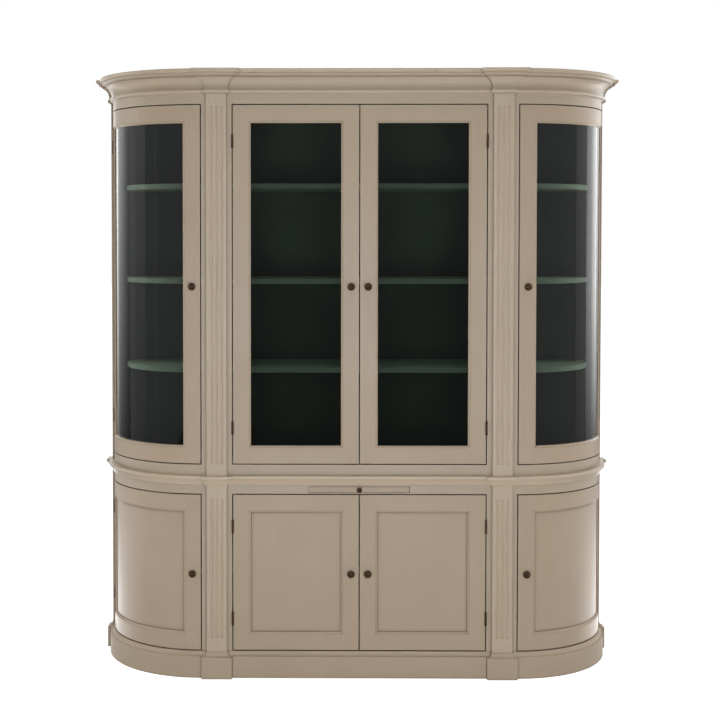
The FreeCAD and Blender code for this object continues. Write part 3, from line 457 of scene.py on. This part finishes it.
# %% Plan of the cabinet front
PILASTER_X, PILASTER_HALF, BLOCK_OUT = HALF_OPENING + STILE_WIDTH / 2, 40 * MM, 18 * MM
BLOCK_LEFT, BLOCK_RIGHT = PILASTER_X - PILASTER_HALF, PILASTER_X + PILASTER_HALF
STRIP_X, STRIP_Y = SIDE_X + POST_STRIP, BOW_Y + POST_STRIP
BOW_STEPS = 64


def right_plan(reach):
    """Plan points of the right half for each reach p: straight runs offset by p, and a bow of radius R + p.

    Along the bow a point at length s lies before, on or behind the quarter circle. The length starts where
    the return of the pilaster block meets it and ends where the front of the rear strip does. The inner
    wall, where p is negative, has no strip and runs straight on to the back.
    """
    p = reach[:, None]
    radius = END_RADIUS + p
    step = BLOCK_RIGHT + p - BOW_X
    first = np.where(step < 0, step, radius * np.arcsin(np.clip(step / radius, 0, 1)))
    stop = STRIP_Y - p - BOW_Y
    quarter = radius * math.pi / 2
    last = np.where(stop > 0, quarter + stop, radius * np.arccos(np.clip(-stop / radius, 0, 1)))
    s = first + (last - first) * np.linspace(0, 1, BOW_STEPS)
    angle = np.clip(s, 0, quarter) / radius
    x = BOW_X + radius * np.sin(angle) + np.minimum(s, 0)
    y = BOW_Y - radius * np.cos(angle) + np.maximum(s - quarter, 0)
    flat, none = -p, 0 * p
    front = np.concatenate([
        np.concatenate([none, BLOCK_LEFT - p, BLOCK_LEFT - p, BLOCK_RIGHT + p], 1)[..., None],
        np.concatenate([flat, flat, flat - BLOCK_OUT, flat - BLOCK_OUT], 1)[..., None]], -1)
    strip = np.where(p < 0, SIDE_X, STRIP_X) + p
    rear = np.concatenate([
        np.concatenate([strip, strip], 1)[..., None],
        np.concatenate([STRIP_Y - p, DEPTH + none], 1)[..., None]], -1)
    return np.concatenate([front, np.stack([x, y], -1), rear], 1)


print("plan points of the right half:", right_plan(np.zeros(1)).shape[1])

# %% Runs along the plan
EASE = 2 * MM


def moulding_run(profile):
    """Closed shell of a moulding: the ring of its profile and its inner wall, at each point of the plan."""
    low, top = profile[0, 1], profile[-1, 1]
    ring = np.concatenate([profile, [[-BOARD, top], [-BOARD, low]]])
    right = right_plan(ring[:, 0])
    plan = np.concatenate([right[:, :0:-1] * (-1, 1), right], 1)
    height = np.broadcast_to(ring[:, 1, None, None], plan.shape[:2] + (1,))
    grid = np.concatenate([plan + (0, FACE_Y), height], -1)
    return tube(grid.transpose(1, 0, 2))


def rail_behind(low, top):
    """The board that closes a moulding at the back: a ring of its section, eased behind, at both ends."""
    half, front, eased = SIDE_X - BOARD, BACK_Y - BOARD, BACK_Y - EASE
    section = np.array([
        (front, low), (eased, low), (BACK_Y, low + EASE),
        (BACK_Y, top - EASE), (eased, top), (front, top)])
    ends = np.array([-half, half])[:, None]
    grid = np.stack(np.broadcast_arrays(ends, section[None, :, 0], section[None, :, 1]), -1)
    return tube(grid)


# %% Mouldings
# Each corner of a profile is its reach past the face and its level, in millimetres.
PLINTH_TOP, WAIST_LOW, WAIST_TOP, CORNICE_LOW, CORNICE_TOP = 102.5, 766, 803, 2300, 2400
PLINTH_RAIL_TOP = 84.5
plinth = outline([(20, 0), (20, 85.5), (17, 85.5), (3, 99.5, 14, -1), (3, PLINTH_TOP)])
waist = outline([
    (3.3, WAIST_LOW), (3.3, 767), (6, 768), (20, 791, 80, -1), (22, 793, 2, 1), (22, 800),
    (19, WAIST_TOP, 3, 1)])
cornice = outline([
    (0.5, CORNICE_LOW), (0.5, 2303), (8, 2308), (12, 2312, 4, 1), (12, 2317), (7, 2322, 5, 1), (7, 2326),
    (27, 2366, 50, -1), (31, 2366), (31, 2371), (34, 2371), (46, 2383, 12, 1), (49, 2383), (49, 2384),
    (55, 2390, 6, 1), (55, 2395), (50, CORNICE_TOP, 5, 1)])
runs = (
    ("plinth", "plinth", plinth, (0, PLINTH_RAIL_TOP), taupe_plinth),
    ("waist", "waist_moulding", waist, None, taupe_waist),
    ("cornice", "cornice", cornice, (CORNICE_LOW, CORNICE_TOP), taupe_cornice))
for name, node, profile, rail, paint in runs:
    run = moulding_run(profile * MM)
    new_piece(f"{name}_run", [run], paint, "cabinet", [node])
    if rail:
        board = rail_behind(rail[0] * MM, rail[1] * MM)
        new_piece(f"{name}_back_rail", [board], taupe_level, "cabinet", [node])

# %% [markdown]
# ## Fluted pilasters
# A flute is cut with a round-nosed tool that is lowered into the face, run along, and lifted again, so it
# is a piece of a cylinder with a piece of a ball at each end. A boolean cut with rounded rods would make it
# too, but leaves long thin faces that shade badly. As a depth below the face it is one formula, and the rows
# of the grid lie closer where the ends of the flutes turn.

# %% Pilasters
FLUTE_RADIUS, FLUTE_OFFSET, FLUTE_PITCH = 6 * MM, 2 * MM, 20 * MM
ARRIS = 1 * MM
BASE_MARGIN, UPPER_MARGIN = 54 * MM, 45 * MM
FAN_POINTS, NOSE_ROWS, STRAIGHT_ROWS = 11, 8, 6


def fluted_pilaster(low, top, margin):
    """Closed shell: depth below the face is sqrt(r^2 - dx^2 - dz^2) - offset where that is positive.

    dx is the distance from the middle of the nearest flute and dz how far a point lies beyond the straight
    part of the flutes.
    """
    mouth = math.sqrt(FLUTE_RADIUS ** 2 - FLUTE_OFFSET ** 2)
    fan = mouth * np.sin(np.linspace(-np.pi / 2, np.pi / 2, FAN_POINTS))
    x = np.concatenate([fan + shift for shift in (-FLUTE_PITCH, 0, FLUTE_PITCH)])
    nose = mouth * np.cos(np.linspace(0, np.pi / 2, NOSE_ROWS))
    start, stop = low + margin + FLUTE_RADIUS, top - margin - FLUTE_RADIUS
    straight = np.linspace(start, stop, STRAIGHT_ROWS)[1:-1]
    z = np.concatenate([[low], start - nose, straight, stop + nose[::-1], [top]])
    dx = np.abs(x[None, :] - FLUTE_PITCH * np.round(x[None, :] / FLUTE_PITCH))
    dz = np.maximum(np.maximum(start - z, z - stop), 0)[:, None]
    depth = np.maximum(np.sqrt(np.maximum(FLUTE_RADIUS ** 2 - dx ** 2 - dz ** 2, 0)) - FLUTE_OFFSET, 0)
    edge_x = np.array([-PILASTER_HALF, -PILASTER_HALF, -PILASTER_HALF + ARRIS])
    edge_y = np.array([0, ARRIS - BLOCK_OUT, -BLOCK_OUT])
    ring_x = np.concatenate([edge_x, x, -edge_x[::-1]])
    left_y, right_y = (np.broadcast_to(edge, (len(z), 3)) for edge in (edge_y, edge_y[::-1]))
    ring_y = np.concatenate([left_y, depth - BLOCK_OUT, right_y], 1)
    grid = np.stack(np.broadcast_arrays(PILASTER_X + ring_x[None, :], ring_y + FACE_Y, z[:, None]), -1)
    return tube(grid)


pilasters = (
    ("base_pilasters", PLINTH_TOP, WAIST_LOW, BASE_MARGIN),
    ("upper_pilasters", WAIST_TOP, CORNICE_LOW, UPPER_MARGIN))
for name, low, top, margin in pilasters:
    right = fluted_pilaster(low * MM, top * MM, margin)
    pair = [right, mirrored(right)]
    new_piece(f"{name}_fluted", pair, taupe_flutes, "cabinet", [name])

# %% [markdown]
# ## Turned knobs
# The knobs are turned: a foot, a waist and a cap with a bead round its face. A profile swung round an axis
# makes one, as the Spin tool does by hand, but here the axis can be square to a flat door or to the bow.

# %% Knobs
FORWARDS, BACKWARDS = (0, -1, 0), (0, 1, 0)
SIDES = (("left", -1), ("right", 1))


def turning(profile, foot, axis, sides=40):
    """Surface of revolution: a profile's radius r and height h give foot + h axis + r (cos t u + sin t v).

    u is square to the axis and to the upright, and v to the axis and u. Both have the length 1 on a level
    axis only, and get shorter as it tilts.
    """
    axis = np.array(axis) / np.linalg.norm(axis)
    u = np.cross(axis, (0, 0, 1))
    v = np.cross(axis, u)
    t = np.linspace(0, 2 * np.pi, sides, endpoint=False)
    spokes = np.cos(t)[:, None] * u + np.sin(t)[:, None] * v
    grid = np.array(foot) + profile[:, 1, None, None] * axis + profile[:, 0, None, None] * spokes
    return tube(grid)


KNOB = outline([
    (9, 0), (9, 1.6), (8, 2.6, 1, 1), (5, 6.2, 5, -1), (6, 9.6, 5, -1), (14.2, 15.4, 11, 1),
    (15, 18, 3.5, 1), (12.6, 21.6, 4, 1), (11.4, 22.6), (10.6, 22.4), (9.6, 23.2), (4, 26.6, 15, 1),
    (0.4, 27.3, 9, 1)], 6) * MM
KNOB_X, KNOB_HEIGHTS = DOOR_GAP / 2 + DOOR_STILE / 2, (("lower", 413 * MM), ("upper", 1549 * MM))
SLIDE_HEIGHT, SLIDE_SCALE = 746 * MM, 0.7
BOW_KNOB = KNOB_X / END_RADIUS
for storey, height in KNOB_HEIGHTS:
    for side, sign in SIDES:
        swing = np.array([sign * math.sin(BOW_KNOB), -math.cos(BOW_KNOB), 0])
        bow_foot = np.array([sign * BOW_X, BOW_Y + FACE_Y, height]) + END_RADIUS * swing
        spots = (
            (f"{storey}_{side}_door", (sign * KNOB_X, FACE_Y, height), FORWARDS),
            (f"{storey}_{side}_bowed_door", bow_foot, swing))
        for door, foot, axis in spots:
            knob = turning(KNOB, foot, axis)
            new_piece(f"{door}_turned_knob", [knob], browned_brass, door, [f"{door}_knob"])
slide_turning = turning(KNOB * SLIDE_SCALE, (0, FACE_Y, SLIDE_HEIGHT), FORWARDS)
new_piece("slide_turned_knob", [slide_turning], browned_brass, "slide", ["slide_knob"])

# %% [markdown]
# ## Shelf-pin sleeves, hinge tips and panel screws
# Rows of holes for the shelf pins run up the rear posts and the partitions, 32 mm apart, each lined with a
# small sleeve. The hinge pins end in ball tips and the back panels are held with domed screws. They are
# repeated dozens of times, so each is a turning with few sides. Linked copies of one object could repeat
# them, but a piece of this frame has its place in its mesh, so each kind is joined into one mesh.

# %% Shelf-pin sleeves
SLEEVE = np.array([(3.4, 0), (3.4, 0.25), (3.0, 0.45), (2.5, 0.45), (2.3, 0.1), (0.3, 0.1)]) * MM
FEW_SIDES = 10
PIN_PITCH, PIN_LOW, PIN_TOP = 32 * MM, 912 * MM, 2250 * MM
PIN_INSET = 19 * MM
POST_FACE, POST_ROW = BOW_Y + DOOR_GAP / 2 + FACE_Y, SIDE_X - POST_WIDTH + PIN_INSET
PARTITION_ROWS = (105 * MM + FACE_Y, 388 * MM + FACE_Y)

pin_heights = np.arange(PIN_LOW, PIN_TOP, PIN_PITCH)
pin_rows = [(sign * POST_ROW, POST_FACE, FORWARDS) for sign in (-1, 1)]
for y in PARTITION_ROWS:
    for out in (-1, 1):
        x = PILASTER_X + out * BOARD / 2
        pin_rows += [(sign * x, y, (sign * out, 0, 0)) for sign in (-1, 1)]
sleeves = [turning(SLEEVE, (x, y, z), axis, FEW_SIDES) for x, y, axis in pin_rows for z in pin_heights]
new_piece("shelf_pin_sleeves", sleeves, browned_brass, "cabinet")

# %% Hinge tips
# Turning shortens the spokes to LEAN of their length on an axis that leans by so little from the upright,
# so these tips come out needle thin.
TIP = outline([(1.6, 0), (3.0, 1.5), (3.0, 3.4, 2.2, 1), (0.4, 5.2, 3, 1)], 3) * MM
BARREL, TIP_RISE, TIP_SIDES, LEAN = 4.3 * MM, 27.2 * MM, 12, 0.001
HINGE_HEIGHTS = (232.5 * MM, 599.5 * MM, 991 * MM, 2120.5 * MM)

right_axes = ((HALF_OPENING - DOOR_GAP / 2, -BARREL), (SIDE_X + BARREL, BOW_Y))
hinge_axes = [(sign * x, y + FACE_Y) for x, y in right_axes for sign in (-1, 1)]
tips = [
    turning(TIP, (x, y, z + way * TIP_RISE), (0, LEAN, way), TIP_SIDES)
    for x, y in hinge_axes for z in HINGE_HEIGHTS for way in (-1, 1)]
new_piece("hinge_ball_tips", tips, browned_brass, "cabinet")

# %% Panel screws
SCREW = outline([(4.2, 0), (4.0, 0.8), (2.2, 2.1, 3.5, 1), (1.4, 2.2), (1.0, 1.2), (0.2, 1.2)], 3) * MM
ROW_HEIGHTS, ROW_HALF, ROW_SCREWS = (0.10, 0.785, 0.83, 2.28), 0.90, 10
COLUMN_X, BASE_LOW, BASE_TOP, BASE_SCREWS = 0.915, 0.16, 0.72, 4
UPPER_LOW, UPPER_TOP, UPPER_SCREWS = 0.9, 2.2, 8

across = np.linspace(-ROW_HALF, ROW_HALF, ROW_SCREWS)
up = np.concatenate([
    np.linspace(BASE_LOW, BASE_TOP, BASE_SCREWS), np.linspace(UPPER_LOW, UPPER_TOP, UPPER_SCREWS)])
places = [(x, z) for x in across for z in ROW_HEIGHTS]
places += [(sign * COLUMN_X, z) for sign in (-1, 1) for z in up]
screws = [turning(SCREW, (x, BACK_Y, z), BACKWARDS, FEW_SIDES) for x, z in places]
new_piece("back_panel_screws", screws, drawn_steel, "cabinet")

# %% [markdown]
# ## Floor and room
# The cabinet stands in a white studio. The floor and the surroundings show white to the camera, and the
# floor keeps a soft shadow. What the paint and the glass reflect is another room, drawn on the world: dim
# on the camera's side, which is why the flat panes look dark, and bright behind the cabinet. The floor is
# hidden from reflections, so a patch of the world below the horizon stands for the lit floor that shows in
# the satin paint of the ends.

# %% Studio floor
FLOOR_CORNERS = [(-40, -5, 0), (40, -5, 0), (40, 40, 0), (-40, 40, 0)]
FLOOR_GREY = "#D0D0CE"
GLOW_NEAR, GLOW_FAR, NEAR_GLOW = 1.4, 4.0, 0.72
scene = bpy.context.scene
scene.view_settings.view_transform = "Standard"


def studio_plane(name, corners, material):
    """One face with a material, for the studio round the cabinet."""
    mesh = bpy.data.meshes.new(name)
    mesh.from_pydata(corners, [], [(0, 1, 2, 3)])
    mesh.materials.append(material)
    plane = bpy.data.objects.new(name, mesh)
    scene.collection.objects.link(plane)
    return plane


def studio_white(name):
    """Matt floor with a glow that only the camera sees, and that rises to white away from the cabinet."""
    material, tree = new_finish(name)
    seen = add(tree, "ShaderNodeLightPath").outputs["Is Camera Ray"]
    place = add(tree, "ShaderNodeTexCoord").outputs["Object"]
    away = add(tree, "ShaderNodeVectorMath", {0: place}, operation="LENGTH").outputs["Value"]
    paling = add(tree, "ShaderNodeMapRange", {0: away, 1: GLOW_NEAR, 2: GLOW_FAR, 3: NEAR_GLOW, 4: 1.0})
    share = add(tree, "ShaderNodeMath", {0: seen, 1: paling.outputs[0]}, operation="MULTIPLY")
    matt = add(tree, "ShaderNodeBsdfDiffuse", {"Color": linear(FLOOR_GREY)})
    glow = add(tree, "ShaderNodeEmission", {"Color": WHITE, "Strength": share.outputs[0]})
    both = add(tree, "ShaderNodeAddShader", {0: matt.outputs[0], 1: glow.outputs[0]})
    add(tree, "ShaderNodeOutputMaterial", {"Surface": both.outputs[0]})
    return material


floor = studio_plane("studio_floor", FLOOR_CORNERS, studio_white("white studio floor"))
floor.visible_glossy = False
floor.visible_transmission = False
print("floor:", floor.name)

# %% Room that is reflected
# Strengths of the room, each with the heights Z or depths Y of a ray's direction over which it changes.
LOW_DARK, HIGH_GREY, DUSK_LOW, DUSK_HIGH = 0.02, 0.11, -0.2, 0.12
DIM_FOOT, BACKDROP, BACKDROP_LOW, BACKDROP_HIGH = 0.1, 1.3, -0.17, 0.12
BACK_START, BACK_FULL = 0.3, 0.95
BRIGHT_FLOOR, FLOOR_START, FLOOR_FULL = 4.0, -0.18, -0.29
NEAR_FEET, FEET_LOW, FEET_HIGH = 0.05, -0.36, -0.28
BESIDE_START, BESIDE_FULL = -0.1, 0.3


def reflected_room(name):
    """White to the camera, and to other rays a strength worked out from their direction.

    It rises with Z from dark to grey on the camera's side and from the dim foot to the backdrop behind,
    and Y mixes the two. Between two slopes below the horizon the lit floor is added, beside and behind.
    """
    world = bpy.data.worlds.new(name)
    world.use_nodes = True
    tree = world.node_tree
    tree.nodes.clear()
    way = add(tree, "ShaderNodeSeparateXYZ", {0: add(tree, "ShaderNodeTexCoord").outputs["Generated"]})
    back, up = way.outputs["Y"], way.outputs["Z"]
    dusk = add(tree, "ShaderNodeMapRange", {0: up, 1: DUSK_LOW, 2: DUSK_HIGH, 3: LOW_DARK, 4: HIGH_GREY})
    behind = add(tree, "ShaderNodeMapRange", {
        0: up, 1: BACKDROP_LOW, 2: BACKDROP_HIGH, 3: DIM_FOOT, 4: BACKDROP})
    walls = add(tree, "ShaderNodeMapRange", {
        0: back, 1: BACK_START, 2: BACK_FULL, 3: dusk.outputs[0], 4: behind.outputs[0]})
    lit_floor = add(tree, "ShaderNodeMapRange", {
        0: up, 1: FLOOR_START, 2: FLOOR_FULL, 3: 0.0, 4: BRIGHT_FLOOR})
    under = add(tree, "ShaderNodeMapRange", {0: up, 1: FEET_LOW, 2: FEET_HIGH, 3: NEAR_FEET, 4: 1.0})
    beside = add(tree, "ShaderNodeMapRange", {0: back, 1: BESIDE_START, 2: BESIDE_FULL})
    for share in (under, beside):
        product = {0: lit_floor.outputs[0], 1: share.outputs[0]}
        lit_floor = add(tree, "ShaderNodeMath", product, operation="MULTIPLY")
    room = add(tree, "ShaderNodeMath", {0: walls.outputs[0], 1: lit_floor.outputs[0]}, operation="ADD")
    seen = add(tree, "ShaderNodeLightPath").outputs["Is Camera Ray"]
    strength = add(tree, "ShaderNodeMix", {0: seen, 2: room.outputs[0], 3: 1.0})
    sky = add(tree, "ShaderNodeBackground", {"Color": WHITE, "Strength": strength.outputs[0]})
    add(tree, "ShaderNodeOutputWorld", {"Surface": sky.outputs[0]})
    return world


scene.world = reflected_room("white studio")
print("world:", scene.world.name)

# %% [markdown]
# ## Lamps and side walls
# Lamps could give both the light on the paint and the reflections, but the photograph's reflections are
# dimmer and softer than lamps that light the paint so well. So the lamps are hidden from reflections, and
# glowing walls that only reflections see stand at both sides. They fade towards the floor, and brighten
# the bent panes towards their outer edges.

# %% Lamps
def softbox(name, place, target, width, height, power):
    """An area lamp at a place, turned so that its -Z axis points at the target."""
    lamp = bpy.data.lights.new(name, "AREA")
    lamp.shape = "RECTANGLE"
    lamp.size, lamp.size_y, lamp.energy = width, height, power
    stand = bpy.data.objects.new(name, lamp)
    stand.location = place
    away = np.array(place) - np.array(target)
    tilt = math.acos(away[2] / np.linalg.norm(away))
    stand.rotation_euler = (tilt, 0, math.atan2(away[1], away[0]) + math.pi / 2)
    scene.collection.objects.link(stand)
    return stand


# Each row is a name, a place, a target, a width, a height and a power in watts.
matt_lamps = (
    ("front softbox", (0, -4.1, 1.3), (0, 0, 1.3), 3.2, 1.6, 104),
    ("high softbox", (0, -3.3, 3.4), (0, 0, 1.2), 3.5, 1.3, 14),
    ("ceiling softbox", (0, -0.7, 4.8), (0, -0.71, 0), 3.5, 2.4, 45),
    ("floor bounce", (0, -3.2, 0.1), (0, -0.2, 2.3), 3.0, 1.0, 20),
    ("left softbox", (-3.4, 0.4, 2.5), (-0.9, 0, 2.1), 1.2, 1.2, 38),
    ("right softbox", (3.4, 0.4, 2.5), (0.9, 0, 2.1), 1.2, 1.2, 43),
    ("left floor bounce", (-2.0, 0.0, 0.06), (-0.95, 0.1, 0.4), 1.2, 0.8, 8),
    ("right floor bounce", (2.0, 0.0, 0.06), (0.95, 0.1, 0.4), 1.2, 0.8, 8))
for row in matt_lamps:
    lamp = softbox(*row)
    lamp.visible_glossy = False
    lamp.visible_transmission = False
print("lamps:", [row[0] for row in matt_lamps])

# %% Side walls
WALL_X, WALL_HEIGHT, WALL_GAP = 4.0, 3.4, 0.01
FADE_LOW = 0.15


def fading_glow(name, bright_level, foot, radiance):
    """A glow added to what lies behind: from the foot's strength near the floor to the full radiance."""
    material, tree = new_finish(name)
    place = add(tree, "ShaderNodeTexCoord").outputs["Object"]
    level = add(tree, "ShaderNodeSeparateXYZ", {0: place}).outputs["Z"]
    fade = add(tree, "ShaderNodeMapRange", {0: level, 1: FADE_LOW, 2: bright_level, 3: foot, 4: radiance})
    glow = add(tree, "ShaderNodeEmission", {"Color": WHITE, "Strength": fade.outputs[0]})
    clear = add(tree, "ShaderNodeBsdfTransparent", {"Color": WHITE})
    both = add(tree, "ShaderNodeAddShader", {0: glow.outputs[0], 1: clear.outputs[0]})
    add(tree, "ShaderNodeOutputMaterial", {"Surface": both.outputs[0]})
    return material


# Each row is a name, a side, the front and the back end, the level where it is brightest, and the strength
# of its glow at the foot and there.
wall_bands = (
    ("left wall", -1, -6.5, 1.0, 2.8, 0.27, 0.27), ("left door", -1, -1.78, -1.66, 2.8, 0.1, 0.3),
    ("left window", -1, -0.7, 1.1, 2.8, 0.0, 0.42), ("left back wall", -1, 1.1, 3.0, 2.8, 0.0, 0.3),
    ("left back window", -1, 4.9, 8.5, 2.2, 0.15, 1.3),
    ("right wall", 1, -5.5, 1.0, 2.8, 0.28, 0.28), ("right window", 1, -0.2, 1.1, 2.8, 0.0, 0.35),
    ("right back wall", 1, 1.1, 2.3, 1.4, 0.1, 1.4), ("right back window", 1, 2.3, 4.5, 1.4, 0.05, 1.85))
for order, (name, side, start, end, *glow) in enumerate(wall_bands):
    x = side * (WALL_X + order * WALL_GAP)
    corners = [(x, start, 0), (x, end, 0), (x, end, WALL_HEIGHT), (x, start, WALL_HEIGHT)]
    wall = studio_plane(name, corners, fading_glow(name, *glow))
    wall.visible_camera = wall.visible_diffuse = wall.visible_transmission = wall.visible_shadow = False
print("walls:", [row[0] for row in wall_bands])

# %% [markdown]
# ## Camera
# The camera stands where the photograph was taken from, a little left of the middle, at about eye level.
# Its place, lens and shifts were fitted to the straight edges of the cabinet. Turning the camera further
# down would also bring the cabinet into the frame, but then the uprights would converge, so the lens is
# shifted instead.

# %% Camera
LENS, SENSOR, SHIFT_X, SHIFT_Y = 67.94, 36, 0.0882, -0.1169
EYE = (-0.1947, -5.3441 + FACE_Y, 1.7585)
TILT_DOWN, TURN_LEFT = 1.785, 0.574
camera = bpy.data.cameras.new("camera")
camera.sensor_width, camera.lens = SENSOR, LENS
camera.shift_x, camera.shift_y = SHIFT_X, SHIFT_Y
viewer = bpy.data.objects.new("camera", camera)
viewer.location = EYE
viewer.rotation_euler = (math.radians(90 - TILT_DOWN), 0, math.radians(TURN_LEFT))
scene.collection.objects.link(viewer)
scene.camera = viewer
print("camera:", LENS, "mm lens at", np.round(EYE, 3))
